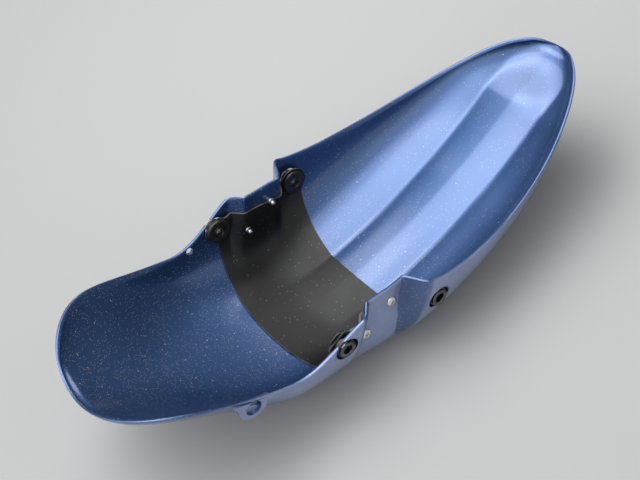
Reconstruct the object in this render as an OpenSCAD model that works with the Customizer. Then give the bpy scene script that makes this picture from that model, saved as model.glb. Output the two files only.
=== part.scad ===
// Motorcycle front mudguard: one moulded plastic skin with a fork recess on
// each side, and a steel fork brace riveted inside it.
// It lies upside down, on its crown, with its front tip toward +X and the
// wheel axle straight above the crown.
// Positions along the mudguard are angles about the axle, front positive.

/* [Skin] */
// Radius of the inside of the crown about the wheel axle
crown_radius = 325; // [290:1:360]
// Thickness of the moulded skin
skin_wall = 3; // [2:0.1:4]
// Angle from the lowest point of the crown to the front tip
tip_angle = 49.8; // [44:0.1:58]
// Angle from the lowest point of the crown to the rear end
tail_angle = 30.8; // [26:0.1:40]
// Half of the inside width in front of the fork recess
front_half_width = 84.2; // [78:0.1:92]
// Half of the inside width just behind the fork recess
rear_half_width = 77.5; // [72:0.1:84]
// Loss of half width for each degree toward the rear end
rear_taper = 0.354; // [0.1:0.01:0.6]
// Depth of the rim inside the crown, at the fork recess
side_depth = 59.7; // [52:0.1:68]
// Depth of the rim inside the crown, near the rear end
rear_depth = 32.7; // [24:0.1:42]

/* [Fork recess] */
// Depth of each fork recess, from the full width inward
recess_depth = 13; // [8:0.1:16]
// Angle where the front ramp of the recess reaches the full width
ramp_front_end = 10.9; // [10:0.1:12]
// Angle where the front ramp of the recess starts
ramp_front_start = 8.1; // [7:0.1:8.8]
// Angle where the rear step of the recess ends
step_rear_end = 1.3; // [0.8:0.1:2]
// Angle where the rear step of the recess starts
step_rear_start = -0.1; // [-1:0.1:0.3]
// Lean of the recess edges, in degrees from rim to crown
recess_lean = 4.6; // [4:0.1:5.4]

/* [Ridges] */
// Sideways place of the two long ridges of the crown
ridge_offset = 27.6; // [20:0.1:34]
// Height of the two long ridges
ridge_height = 3.2; // [1:0.1:5]
// Sink of the panel between the ridges
panel_sink = 2; // [0:0.1:3]
// Sink of the whole crown toward the axle, ahead of the fork recess
nose_sink = 11.8; // [6:0.1:15]

/* [Fork brace] */
// Thickness of the brace sheet
brace_sheet = 1.6; // [1:0.1:2.5]
// Gap between the brace sheet and the skin
brace_gap = 0.3; // [0.2:0.05:0.6]
// Distance of the brace's front edge ahead of the lowest point, on the crown
brace_front = 49; // [44:0.5:54]
// Distance of the brace's rear edge behind the lowest point, on the crown
brace_rear = 28; // [22:0.5:32]
// Radius in plan of the brace's front and rear edges
brace_sweep = 250; // [200:5:400]
// Height of the brace's top edge above the crown, between its mounts
brace_top = 48; // [44:0.5:52]
// Radius of the brace's round ends about the front mounts
lobe_front = 10.8; // [10.4:0.1:12]
// Radius of the brace's round ends about the rear mounts
lobe_rear = 13.4; // [11:0.1:14.5]
// Radius of the fillets between the top edge and the round ends
lobe_fillet = 8; // [4:0.5:10]

/* [Mounts] */
// Distance of the front mounts ahead of the lowest point
mount_front_x = 55.5; // [53:0.5:60]
// Height of the front mounts above the inside of the crown
mount_front_z = 46.5; // [42:0.5:49]
// Distance of the rear mounts behind the lowest point
mount_rear_x = 16; // [13:0.5:20]
// Height of the rear mounts above the inside of the crown
mount_rear_z = 43; // [40:0.5:46]
// Inset of the brace's front pads from the front half width
pad_front_inset = 8; // [7.6:0.1:10]
// Inset of the brace's rear pads from the rear half width
pad_rear_inset = 5.9; // [5.7:0.1:7.5]
// Bore of the steel collars
collar_bore = 6.7; // [5.5:0.1:8]
// Wall of the steel collars
collar_wall = 1.3; // [1:0.1:1.6]
// Width of the collar flange beyond its barrel
collar_flange = 1.9; // [1.2:0.1:2.4]
// Thickness of the collar flange
collar_flange_t = 1.6; // [1:0.1:2]
// Diameter of the hole in the brace that holds a grommet
grommet_hole = 13; // [12.4:0.1:14]
// Diameter of the grommet's inner flange
grommet_flange = 19; // [17:0.1:19.6]
// Diameter of the grommet's outer flange
grommet_lip = 15.6; // [14.8:0.1:16]
// Thickness of the grommet's flanges
grommet_flange_t = 2.2; // [1.5:0.1:3]
// Diameter of the clearance hole in the skin round a grommet
skin_hole = 17; // [16.6:0.1:18]

/* [Rivets] */
// Diameter of a rivet's shank
rivet_shank = 4; // [3:0.1:5]
// Diameter of a rivet's head
rivet_head = 8; // [7:0.1:9.5]
// Height of a rivet's head
rivet_head_t = 1.3; // [0.8:0.1:2]
// Diameter of a rivet's upset shoulder inside
rivet_bulb = 6.2; // [5.6:0.1:7]
// Height of a rivet's upset shoulder
rivet_bulb_t = 1.8; // [1.2:0.1:2.5]
// Length of a rivet's tail beyond its shoulder
rivet_tail = 2.6; // [1.5:0.1:4]
// Diameter of the pin left inside a rivet
pin_d = 2.1; // [1.6:0.1:2.4]
// Diameter of the ball end of the pin
pin_ball = 4.6; // [4:0.1:5.4]
// Angle of the front rivets
rivet_front_angle = 6.9; // [6.4:0.1:7]
// Place of the front rivets, as a share of the way from crown to rim
rivet_front_place = 0.9; // [0.84:0.01:0.91]
// Angle of the rear rivets
rivet_rear_angle = 2.7; // [2.6:0.1:3.2]
// Place of the rear rivets, as a share of the way from crown to rim
rivet_rear_place = 0.81; // [0.76:0.01:0.86]

/* [Ear and small hole] */
// Distance of the ear behind the lowest point
ear_x = 87; // [80:0.1:92]
// Thickness of the ear's plate
ear_wall = 2; // [1.5:0.1:2.4]
// How far the ear stands out from the skin
ear_stand = 1; // [0.6:0.1:1.4]
// Depth of the ear's hole below the rim
ear_drop = 7.6; // [7:0.1:9]
// Depth of the ear's lower edge below the rim
ear_depth = 16; // [15:0.1:18]
// Radius of the ear's round end
ear_radius = 10.6; // [10:0.1:12]
// Width of the ear where it leaves the rim
ear_root = 28; // [25:0.5:34]
// Diameter of the ear's hole
ear_hole = 11; // [8:0.1:11.4]
// Distance of the small hole behind the lowest point
small_hole_x = 41.3; // [38:0.1:46]
// Height of the small hole above the inside of the crown
small_hole_z = 38; // [34:0.5:40]
// Diameter of the small hole
small_hole = 5.6; // [4:0.1:7]

/* [Hidden] */

// How far the mudguard rolls forward from its lowest point to lie at rest
rest_turn = 9.2;
// Running clearance between pieces that pass through one another
fit_gap = 0.1;
// Gap between a rivet and the sheet that it grips
rivet_gap = 0.2;
// Shape of the nose and of the rear corners in plan
nose_power = 1.66;
nose_root = 2.27;
tail_power = 10;
tail_root = 2.5;
// Fall of the side depth toward the nose
drop_power = 0.93;
drop_root = 0.6;
// Angles over which the side wall grows deeper, behind the fork recess
deepen = 12;
// Angles where the two ridges start and end, and over which they rise and fade
ridge_start = 4;
ridge_rise = 12;
ridge_end = 38;
ridge_fall = 9;
// The same for the sink of the crown
sink_start = 5;
sink_rise = 24;
sink_end = 40;
sink_fall = 9;
// Squareness of the cross-section at the rear, the fork recess, the front and the tip
square_rear = 1.8;
square_fork = 3.95;
square_front = 4.2;
square_tip = 2.6;
// Angle where each next squareness starts to come in, and over how many degrees
fork_from = -24;
fork_over = 20;
front_from = 8;
front_over = 6;
tip_from = 26;
tip_over = 20;
// Angle where the lean of the recess comes in and where it goes, and over how many degrees
lean_from = -12;
lean_over = 22;
lean_until = 14;
lean_fall = 12;
// Share of a full arch that the sides reach, at the rear and elsewhere
arch_rear = 0.97;
arch_front = 0.995;
arch_over = 14;
// Share of the side depth over which the recess grows to its full depth
recess_fade = 0.84;
// Spread of the ridges in the cross-section
ridge_spread = 14;
// Depth of the pocket behind the ear's hole, and how far the ear starts below the rim
ear_pocket = 0.5;
rim_chamfer = 0.2;
// How far a rivet's hole reaches inward through the brace
rivet_through = 4 * (brace_gap + brace_sheet);
// Size of the chamfers on the small turned pieces
edge_break = 0.3;
// How close to a pointed end the last station comes
nose_last = 0.9999;
tail_last = 0.99995;
// Angles between which the stations are close, for the brace and its pads
pad_behind = -6.5;
pad_ahead = 15.5;
// Stations and section points of the skin
front_stations = 17;
rear_stations = 13;
side_points = 15;
// Smoothness of the round pieces
round_fn = 24;

function clip01(x) = max(0, min(1, x));
function ease(x) = let (c = clip01(x)) c * c * (3 - 2 * c);
function unit(v) = v / norm(v);

function nose_share(t) = clip01((t - ramp_front_end) / (tip_angle - ramp_front_end));
function tail_share(t) = clip01(-t / tail_angle);
function tail_round(t) = 1 - pow(tail_share(t), tail_power);

// Half of the inside width at the rim, without the recess
function full_half(t) =
    t > ramp_front_end
        ? front_half_width * pow(1 - pow(nose_share(t), nose_power), 1 / nose_root)
    : t < 0
        ? (rear_half_width + rear_taper * t) * pow(tail_round(t), 1 / tail_root)
    : rear_half_width + (front_half_width - rear_half_width) * t / ramp_front_end;

// Share of the recess depth at an angle, measured along the rim
function recess_share(t) =
    min(clip01((ramp_front_end - t) / (ramp_front_end - ramp_front_start)),
        clip01((t - step_rear_start) / (step_rear_end - step_rear_start)));

// Depth of the rim inside the crown radius
function rim_depth(t) =
    t > ramp_front_end
        ? side_depth * pow(1 - pow(nose_share(t), drop_power), drop_root)
    : t < 0
        ? (rear_depth + (side_depth - rear_depth) * ease(1 + t / deepen))
            * pow(tail_round(t), 2 / tail_root)
    : side_depth;

// Where the ridges run, and how the crown sinks between and ahead of them
function grown(t, from, over) = ease((t - from) / over);
function ridge_share(t) = grown(t, ridge_start, ridge_rise) * (1 - grown(t, ridge_end, ridge_fall));
function crown_sink(t) =
    nose_sink * grown(t, sink_start, sink_rise) * (1 - grown(t, sink_end, sink_fall))
    + panel_sink * ridge_share(t);

function squareness(t) =
    square_rear + (square_fork - square_rear) * grown(t, fork_from, fork_over)
    + (square_front - square_fork) * grown(t, front_from, front_over)
    + (square_tip - square_front) * grown(t, tip_from, tip_over);
function arch(t) = arch_rear + (arch_front - arch_rear) * grown(t, fork_from, arch_over);
function lean(t) =
    recess_lean * grown(t, lean_from, lean_over) * (1 - grown(t, lean_until, lean_fall));

// A point on the inside of the skin. t is the station and s runs from -1 at
// the right rim over 0 at the crown to 1 at the left rim.
function inside(t, s) =
    let (
        n = squareness(t),
        k = arch(t),
        c_rim = pow(1 - pow(k, n), 1 / n),
        a = abs(s) * atan2(k, c_rim),
        rho = pow(pow(sin(a), n) + pow(cos(a), n), -1 / n),
        q = rho * sin(a) / k,
        g = (1 - rho * cos(a)) / (1 - c_rim),
        y = q * (full_half(t) - recess_depth * recess_share(t) * ease(g / recess_fade)),
        sink = crown_sink(t),
        ridge = ridge_height * ridge_share(t)
            * exp(-abs(y - ridge_offset) / ridge_spread) * (1 - pow(q, 4)),
        r = crown_radius - sink - (rim_depth(t) - sink) * g + ridge,
        th = t - lean(t) * (1 - g)
    )
    [r * sin(th), sign(s) * y, -r * cos(th)];

// Unit vectors that point out of the skin, from the neighbours in a grid
function grid_normal(p, i, j) =
    let (
        m = len(p) - 1,
        w = len(p[0]) - 1,
        along = p[min(i + 1, m)][j] - p[max(i - 1, 0)][j],
        across = p[i][min(j + 1, w)] - p[i][max(j - 1, 0)]
    )
    unit(cross(across, along));
function out_normals(p) =
    [for (i = [0:len(p) - 1]) [for (j = [0:len(p[0]) - 1]) grid_normal(p, i, j)]];

// The same, with the two ends of the skin leaning out along its length
function end_normal(t) = unit([sin(t), 0, -cos(t)] + sign(t) * [cos(t), 0, sin(t)]);
function skin_out_normals(p, t_list) =
    let (m = len(p) - 1)
    [for (i = [0:m]) [for (j = [0:len(p[0]) - 1])
        i == 0 || i == m ? end_normal(t_list[i]) : grid_normal(p, i, j)]];

// Closed sheet between two grids of points, the outer one first
module sheet(outer, inner) {
    rows = len(outer);
    cols = len(outer[0]);
    back = rows * cols;
    cells = [for (i = [0:rows - 2]) for (j = [0:cols - 2]) i * cols + j];
    skin = [for (c = cells) each [[c, c + cols, c + 1], [c + 1, c + cols, c + cols + 1]]];
    loop = concat([for (j = [0:cols - 1]) j], [for (i = [1:rows - 1]) i * cols + cols - 1],
        [for (j = [cols - 2:-1:0]) (rows - 1) * cols + j], [for (i = [rows - 2:-1:1]) i * cols]);
    last = len(loop) - 1;
    edges = [for (k = [0:last]) let (a = loop[k], b = loop[k == last ? 0 : k + 1])
        each [[a, b, a + back], [b, b + back, a + back]]];
    lining = [for (f = skin) [f[2] + back, f[1] + back, f[0] + back]];
    points = [for (grid = [outer, inner]) for (row = grid) each row];
    polyhedron(points = points, faces = concat(skin, lining, edges), convexity = 12);
}

// Stations of the skin, from the rear end to the front tip: close together at
// both ends and along the fork recess
function between(a, b, n) = [for (i = [0:n - 1]) a + (b - a) * i / n];
tail_list = [for (i = [rear_stations:-1:1])
    pad_behind - (tail_angle + pad_behind) * min(tail_last, sin(90 * i / rear_stations))];
nose_list = [for (i = [0:front_stations])
    pad_ahead + (tip_angle - pad_ahead) * min(nose_last, sin(90 * i / front_stations))];
fork_list = concat(between(pad_behind, step_rear_start, 4), between(step_rear_start, step_rear_end, 1),
    between(step_rear_end, ramp_front_start, 3), between(ramp_front_start, ramp_front_end, 2),
    between(ramp_front_end, pad_ahead, 3));
stations = concat(tail_list, fork_list, nose_list);
shares = [for (j = [-side_points:side_points]) j / side_points];

skin_inside = [for (t = stations) [for (s = shares) inside(t, s)]];
skin_normals = skin_out_normals(skin_inside, stations);
skin_outside = [for (i = [0:len(stations) - 1])
    [for (j = [0:len(shares) - 1]) skin_inside[i][j] + skin_wall * skin_normals[i][j]]];

// Origin under the middle of the box round the skin as it lies, on its lowest point
function lying(p) =
    [p.x * cos(rest_turn) + p.z * sin(rest_turn), p.y, p.z * cos(rest_turn) - p.x * sin(rest_turn)];
all_x = [for (row = skin_outside) for (p = row) lying(p).x];
all_z = [for (row = skin_outside) for (p = row) lying(p).z];
mid_x = (max(all_x) + min(all_x)) / 2;
low_z = min(all_z);

// Mount places as [x, z] about the axle, and the outer faces of the brace's pads
mount_front = [mount_front_x, mount_front_z - crown_radius];
mount_rear = [-mount_rear_x, mount_rear_z - crown_radius];
pad_front_y = front_half_width - pad_front_inset;
pad_rear_y = rear_half_width - pad_rear_inset;

// Pads of the brace: flat round each mount, easing into the curved sheet
pad_flat = 17;
pad_blend = 7;
function pad_weight(p, mount) = 1 - ease((norm([p.x, p.z] - mount) - pad_flat) / pad_blend);
function pad_y(y, p, mount, pad) =
    let (w = pad_weight(p, mount)) min(abs(y), abs(y) * (1 - w) + pad * w);
function on_pads(p) =
    let (y1 = pad_y(p.y, p, mount_front, pad_front_y), y2 = pad_y(y1, p, mount_rear, pad_rear_y))
    [p.x, sign(p.y) * y2, p.z];

// Grid of the brace, on the skin's own lines and a little beyond the brace's edges
brace_rows = [for (i = [0:len(stations) - 1]) if (stations[i] > pad_behind - 3 && stations[i] <= pad_ahead) i];
brace_outer = [for (i = brace_rows) [for (j = [0:len(shares) - 1])
    on_pads(skin_inside[i][j] - brace_gap * skin_normals[i][j])]];
brace_normals = out_normals(brace_outer);
function pad_normal(n, p) =
    let (w = max(pad_weight(p, mount_front) * (abs(p.y) >= pad_front_y - 0.01 ? 1 : 0),
        pad_weight(p, mount_rear) * (abs(p.y) >= pad_rear_y - 0.01 ? 1 : 0)))
    unit(n * (1 - w) + [0, sign(p.y), 0] * w);
brace_inner = [for (i = [0:len(brace_rows) - 1]) [for (j = [0:len(shares) - 1])
    brace_outer[i][j] - brace_sheet * pad_normal(brace_normals[i][j], brace_outer[i][j])]];

// Moves a shape from the axle to the part's own origin, turned as it lies
module from_axle() {
    translate([-mid_x, 0, -low_z]) rotate([0, rest_turn, 0]) children();
}

// Turns a shape that points along Z so that it points out of side sgn, at a mount
module at_mount(mount, sgn) {
    from_axle() translate([mount.x, 0, mount.y]) rotate([-90 * sgn, 0, 0]) children();
}

// Places a shape on the skin's inside at a station and share, pointing out
module at_skin(t, s) {
    e = 0.02;
    p = inside(t, s);
    n = unit(cross(inside(t, s + e) - inside(t, s - e), inside(t + e * 10, s) - inside(t - e * 10, s)));
    from_axle() translate(p) rotate([0, acos(n.z), atan2(n.y, n.x)]) children();
}

module mount_hole(mount, sgn, d) {
    at_mount(mount, sgn) translate([0, 0, rear_half_width / 2])
        cylinder(d = d, h = front_half_width, $fn = round_fn);
}

// Ear below the right rim, behind the fork recess
rear_rim = crown_radius - rear_depth;
rim_at_ear = inside(-asin(ear_x / rear_rim), -1);
ear_face = rim_at_ear.y - skin_wall - ear_stand;
ear_middle_z = rim_at_ear.z - ear_depth + ear_radius;
// A point on the rear rim's circle about the axle, moved up by lift
function rim_point(x, lift) = [x, lift - sqrt(pow(rear_rim, 2) - x * x)];
module ear_outline() {
    foot = [for (side = [-1, 1]) rim_point(-ear_x + side * ear_root / 2, -skin_wall - ear_stand)];
    top = [for (side = [1, 0, -1]) rim_point(-ear_x + side * ear_root / 2, -rim_chamfer)];
    offset(r = -skin_wall) offset(delta = skin_wall) union() {
        translate([-ear_x, ear_middle_z]) circle(r = ear_radius, $fn = 2 * round_fn);
        polygon(concat(foot, top));
    }
}
module ear_bore(reach) {
    translate([-ear_x, ear_face - skin_wall, rim_at_ear.z - ear_drop]) rotate([-90, 0, 0])
        cylinder(d = ear_hole, h = skin_wall + reach, $fn = 2 * round_fn);
}
module ear() {
    from_axle() difference() {
        translate([0, ear_face + ear_wall, 0]) rotate([90, 0, 0]) linear_extrude(ear_wall) ear_outline();
        ear_bore(ear_wall + skin_wall);
    }
}

module mudguard_skin() {
    color("royalblue") union() {
        difference() {
            from_axle() sheet(skin_outside, skin_inside);
            for (sgn = [-1, 1]) {
                mount_hole(mount_front, sgn, skin_hole);
                mount_hole(mount_rear, sgn, skin_hole);
                for (place = [[rivet_front_angle, rivet_front_place], [rivet_rear_angle, rivet_rear_place]])
                    at_skin(place[0], sgn * place[1]) translate([0, 0, -skin_wall])
                        cylinder(d = rivet_shank + 2 * fit_gap, h = 3 * skin_wall, $fn = round_fn);
            }
            mount_hole([-small_hole_x, small_hole_z - crown_radius], 1, small_hole);
            from_axle() ear_bore(ear_wall + ear_pocket);
        }
        ear();
    }
}

// Round ends of the brace about its mounts, in side view about the axle
module brace_lobes() {
    translate(mount_front) circle(r = lobe_front, $fn = 2 * round_fn);
    translate(mount_rear) circle(r = lobe_rear, $fn = 2 * round_fn);
}

// Side outline of the brace, with a fillet beside each round end
module brace_side() {
    offset(r = -lobe_fillet) offset(delta = lobe_fillet) union() {
        translate([-brace_rear, -crown_radius - skin_wall])
            square([mount_front_x + brace_rear, brace_top + skin_wall]);
        translate([0, -crown_radius - skin_wall])
            square([brace_front + lobe_front + lobe_fillet, mount_front_z + skin_wall]);
        brace_lobes();
    }
}

// The brace's front and rear edges sweep back toward the crown
module brace_plan() {
    depth = crown_radius + skin_wall;
    translate([0, 0, -depth]) linear_extrude(depth) difference() {
        translate([brace_sweep - brace_rear, 0]) circle(r = brace_sweep, $fn = 8 * round_fn);
        translate([brace_sweep + brace_front, 0]) circle(r = brace_sweep, $fn = 8 * round_fn);
    }
}

// Stretches a side outline right across the part
module across() {
    rotate([90, 0, 0]) linear_extrude(3 * front_half_width, center = true) children();
}

module fork_brace() {
    color("dimgray") difference() {
        intersection() {
            from_axle() sheet(brace_outer, brace_inner);
            from_axle() across() brace_side();
            from_axle() union() {
                brace_plan();
                across() offset(delta = edge_break) brace_lobes();
            }
        }
        for (sgn = [-1, 1]) {
            mount_hole(mount_front, sgn, grommet_hole);
            mount_hole(mount_rear, sgn, grommet_hole);
            for (place = [[rivet_front_angle, rivet_front_place], [rivet_rear_angle, rivet_rear_place]])
                at_skin(place[0], sgn * place[1]) translate([0, 0, -rivet_through])
                    cylinder(d = rivet_shank + 2 * fit_gap, h = rivet_through + skin_wall, $fn = round_fn);
        }
    }
}

// Rubber grommet that grips the brace sheet; z = 0 is the pad's outer face
module grommet(mount, sgn, pad) {
    bore = collar_bore / 2 + collar_wall + fit_gap;
    neck = grommet_hole / 2 - fit_gap;
    r1 = grommet_flange / 2;
    r2 = grommet_lip / 2;
    t = grommet_flange_t;
    low = -brace_sheet - fit_gap;
    color("black") at_mount(mount, sgn) translate([0, 0, pad]) rotate_extrude($fn = round_fn)
        polygon([[bore, low - t], [r1 - t * 0.6, low - t], [r1, low - t * 0.4], [r1, low],
            [neck, low], [neck, fit_gap], [r2, fit_gap], [r2, fit_gap + t * 0.6],
            [r2 - t * 0.5, fit_gap + t], [bore, fit_gap + t]]);
}

// Flanged steel collar through a grommet, seated on its outer face
module collar(mount, sgn, pad) {
    r_in = collar_bore / 2;
    r_out = r_in + collar_wall;
    low = -brace_sheet - grommet_flange_t - 2 * fit_gap;
    top = grommet_flange_t + 2 * fit_gap;
    color("silver") at_mount(mount, sgn) translate([0, 0, pad]) rotate_extrude($fn = round_fn)
        polygon([[r_in, low], [r_out, low], [r_out, top], [r_out + collar_flange, top],
            [r_out + collar_flange, top + collar_flange_t - edge_break],
            [r_out + collar_flange - edge_break, top + collar_flange_t], [r_in, top + collar_flange_t]]);
}

// Pull rivet through skin and brace; z = 0 is the skin's inside
module rivet(t, s) {
    head_z = skin_wall + rivet_gap;
    low = -brace_gap - brace_sheet - rivet_gap;
    shank = rivet_shank / 2;
    hole = pin_d / 2 + fit_gap;
    head = rivet_head / 2;
    bulb = rivet_bulb / 2;
    tail_z = low - rivet_bulb_t - rivet_tail;
    color("lightgray") at_skin(t, s) rotate_extrude($fn = round_fn)
        polygon([[hole, tail_z], [shank, tail_z], [shank, low - rivet_bulb_t],
            [bulb - edge_break, low - rivet_bulb_t], [bulb, low - rivet_bulb_t * 0.6], [bulb, low], [shank, low],
            [shank, head_z], [head, head_z], [head * 0.86, head_z + rivet_head_t * 0.6],
            [head * 0.5, head_z + rivet_head_t], [hole, head_z + rivet_head_t]]);
}

// Pin that stays in a pull rivet, with its ball end beyond the tail
module rivet_pin(t, s) {
    low = -brace_gap - brace_sheet - rivet_gap - rivet_bulb_t - rivet_tail;
    ball_z = low - fit_gap - sqrt(pow(pin_ball / 2, 2) - pow(pin_d / 2, 2));
    top = skin_wall + rivet_gap + rivet_head_t * 0.4;
    color("gray") at_skin(t, s) union() {
        translate([0, 0, ball_z]) cylinder(d = pin_d, h = top - ball_z, $fn = round_fn);
        intersection() {
            translate([0, 0, ball_z]) sphere(d = pin_ball, $fn = round_fn);
            translate([0, 0, low - fit_gap - pin_ball]) cylinder(d = 2 * pin_ball, h = pin_ball, $fn = round_fn);
        }
    }
}

mudguard_skin();
fork_brace();
grommet(mount_front, 1, pad_front_y);  // grommet_front_left
grommet(mount_front, -1, pad_front_y);  // grommet_front_right
grommet(mount_rear, 1, pad_rear_y);  // grommet_rear_left
grommet(mount_rear, -1, pad_rear_y);  // grommet_rear_right
collar(mount_front, 1, pad_front_y);  // collar_front_left
collar(mount_front, -1, pad_front_y);  // collar_front_right
collar(mount_rear, 1, pad_rear_y);  // collar_rear_left
collar(mount_rear, -1, pad_rear_y);  // collar_rear_right
rivet(rivet_front_angle, rivet_front_place);  // rivet_front_left
rivet(rivet_front_angle, -rivet_front_place);  // rivet_front_right
rivet(rivet_rear_angle, rivet_rear_place);  // rivet_rear_left
rivet(rivet_rear_angle, -rivet_rear_place);  // rivet_rear_right
rivet_pin(rivet_front_angle, rivet_front_place);  // pin_front_left
rivet_pin(rivet_front_angle, -rivet_front_place);  // pin_front_right
rivet_pin(rivet_rear_angle, rivet_rear_place);  // pin_rear_left
rivet_pin(rivet_rear_angle, -rivet_rear_place);  // pin_rear_right
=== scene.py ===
"""A motorcycle front mudguard, upside down on its crown: the painted moulding, the brace riveted
inside it and the collars in their rubber grommets, on a pale floor."""
import math

import bpy
from mathutils import Matrix, Vector


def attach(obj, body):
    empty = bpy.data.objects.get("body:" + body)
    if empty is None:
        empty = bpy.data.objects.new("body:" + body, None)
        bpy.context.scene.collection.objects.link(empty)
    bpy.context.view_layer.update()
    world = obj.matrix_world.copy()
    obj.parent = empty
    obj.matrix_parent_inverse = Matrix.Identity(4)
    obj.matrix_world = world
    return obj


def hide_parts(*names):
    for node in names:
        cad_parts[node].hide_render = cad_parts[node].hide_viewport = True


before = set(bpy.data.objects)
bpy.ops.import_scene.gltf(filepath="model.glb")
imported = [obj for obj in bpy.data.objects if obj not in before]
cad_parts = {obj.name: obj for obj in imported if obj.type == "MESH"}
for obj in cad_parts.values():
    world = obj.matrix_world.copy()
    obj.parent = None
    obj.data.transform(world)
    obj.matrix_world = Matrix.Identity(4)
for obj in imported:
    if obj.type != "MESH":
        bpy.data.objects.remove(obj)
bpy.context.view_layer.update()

# Sizes in millimetres and degrees about the wheel axle, as in the part's own source
MM = 0.001
CROWN_RADIUS = 325
SKIN_WALL = 3
TIP_ANGLE = 49.8
TAIL_ANGLE = 30.8
FRONT_HALF_WIDTH = 84
REAR_HALF_WIDTH = 77.5
REAR_TAPER = 0.354
SIDE_DEPTH = 63
REAR_DEPTH = 32.7
RECESS_HALF = 68.1
RECESS_DIP, DIP_START, DIP_END = 0.8, 6.7, 8.3
RAMP_FRONT_END = 10.7
RAMP_FRONT_START = 8.3
STEP_REAR_END = 1.6
STEP_REAR_START = -0.2
DEEPEN = 12.5
RECESS_LEAN = 4.6
RECESS_FADE = 0.84
RIDGE_OFFSET = 27.6
RIDGE_HEIGHT = 3.2
RIDGE_SPREAD = 14
RIDGE_CREST = 1.1
RIDGE_FROM, RIDGE_RISE, RIDGE_UNTIL, RIDGE_FALL = 4, 12, 41, 9
PANEL_SINK = 2
NOSE_SINK = 11.8
SINK_FROM, SINK_RISE, SINK_UNTIL, SINK_FALL = 4.5, 24, 40, 9
NOSE_POWER, NOSE_ROOT = 1.66, 2.27
TAIL_POWER, TAIL_ROOT = 10, 2.5
DROP_POWER, DROP_ROOT = 0.7, 0.54
SQUARE_REAR, SQUARE_FORK, SQUARE_FRONT, SQUARE_TIP = 1.8, 3.95, 4.2, 2.6
FORK_FROM, FORK_OVER = -24, 20
FRONT_FROM, FRONT_OVER = 8, 6
TIP_FROM, TIP_OVER = 26, 20
ARCH_REAR, ARCH_FRONT, ARCH_OVER = 0.97, 0.995, 14
LEAN_FROM, LEAN_OVER, LEAN_UNTIL, LEAN_FALL = -12, 22, 14, 12
RECESS_SOFTNESS = 0.25

# Where the rim thins: over the outer share of each half, over the ends, and clear of the fork
RIM_THINNING = 1.4
THIN_SIDE, THIN_END = 0.94, 0.975
THIN_FRONT_FROM, THIN_FRONT_OVER = 12, 14
THIN_REAR_FROM, THIN_REAR_OVER = 6, 10
END_LEAN_FROM = 0.985

# The skin's first and last rows, and its slopes, stay this share short of the very ends
TAIL_SHORT, TIP_SHORT, SLOPE_SHORT = 5e-5, 2e-5, 1e-5

# Faces that meet at less than this angle are shaded as one
SMOOTH_BELOW = math.radians(42)

# How finely the skin and the brace are divided
SKIN_ROWS_REAR, SKIN_ROWS_FORK, SKIN_ROWS_FRONT = 36, 60, 50
ROWS_FORK_FROM, ROWS_FORK_UNTIL = -4, 13
SKIN_HALF_COLUMNS = 38
BRACE_ROWS, BRACE_HALF_COLUMNS, BRACE_REACH = 130, 52, 0.99
BRACE_FROM, BRACE_UNTIL = -9.5, 15.6

# The pale film outside: partly dust, partly painted light that the side walls catch from the floor;
# painted thinner where the skin faces forward or back
SHEEN_FILM_LOSS, SHEEN_FILM_FACING, SHEEN_FILM_OVER = 0.85, 0.1, 0.22

# The brace: its sheet, its edges in plan and in side view, and its flat pads
BRACE_SHEET = 1.6
BRACE_GAP = 0.3
BRACE_FRONT = 49
BRACE_REAR = 28
BRACE_SWEEP = 250
BRACE_TOP = 51.5
LOBE_FRONT, LOBE_REAR = 10.8, 10
LOBE_SPARE = 0.3
RIGHT_ACROSS = 240
TOP_DIP, TOP_DIP_X, TOP_LEVEL_X = 0.8, 32, 14
FRONT_FOOT, REAR_FOOT = (-9.8, 5), (6.4, 7.7)
TAIL_CORNER = 8
PAD_FLAT, PAD_BLEND = 11.5, 6

# The four mounts, and the grommets and collars in them
MOUNT_FRONT = (55.5, 46.5 - CROWN_RADIUS)
MOUNT_REAR = (-16, 43 - CROWN_RADIUS)
PAD_FRONT_Y, PAD_REAR_Y = 78.9, 73.6
COLLAR_TOP_FRONT, COLLAR_TOP_REAR = 85.8, 79.2
SKIN_HOLE = 17
GROMMET_HOLE = 13
GROMMET_FLANGE = 19
GROMMET_LIP = 14
GROMMET_FLANGE_T = 2.2
COLLAR_BORE, COLLAR_WALL = 6.7, 1.3
COLLAR_FLANGE, COLLAR_FLANGE_T = 1.5, 1.4
FIT_GAP = 0.1

# Lengths of the bars that cut the holes, and how far from the middle those through the skin are
RIVET_CUT, SKIN_CUT, PAD_CUT = 16, 40, 20
MOUNT_CUT_Y, SMALL_CUT_Y = 78, 75

# The rivets and their pins; each pair of rivets is at an angle and a share of the way to the rim
RIVET_SHANK, RIVET_HEAD, RIVET_HEAD_T = 4, 8, 1.3
RIVET_BULB, RIVET_BULB_T, RIVET_TAIL = 5, 0.7, 0.1
RIVET_GAP = 0.2
PIN_D, PIN_BALL = 2.1, 3.9
RIVETS = {"front": (6.61, 0.901), "rear": (2.46, 0.804)}

# The ear on the right rim, and the small hole in the left wall
EAR_X, EAR_DROP, EAR_DEPTH, EAR_RADIUS, EAR_ROOT, EAR_HOLE = 85.8, 7.6, 16, 10.6, 26, 11
EAR_WALL, EAR_STAND, EAR_WEB, EAR_POCKET = 2, 0.35, 1.2, 0.6
EAR_TOP, EAR_FOOT, EAR_FILLET, EAR_TOP_STEP = 2.4, 4.6, 1.8, 7
EAR_EDGE = 0.35
SMALL_HOLE_X, SMALL_HOLE_Z, SMALL_HOLE = 40.2, 35.6 - CROWN_RADIUS, 5.6

# How the part lies: turned about the axle, with its box centred and its lowest point on the floor
REST_TURN = math.radians(9.2)
LOW = Vector((-1.29436, 0, 326.195))

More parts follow.
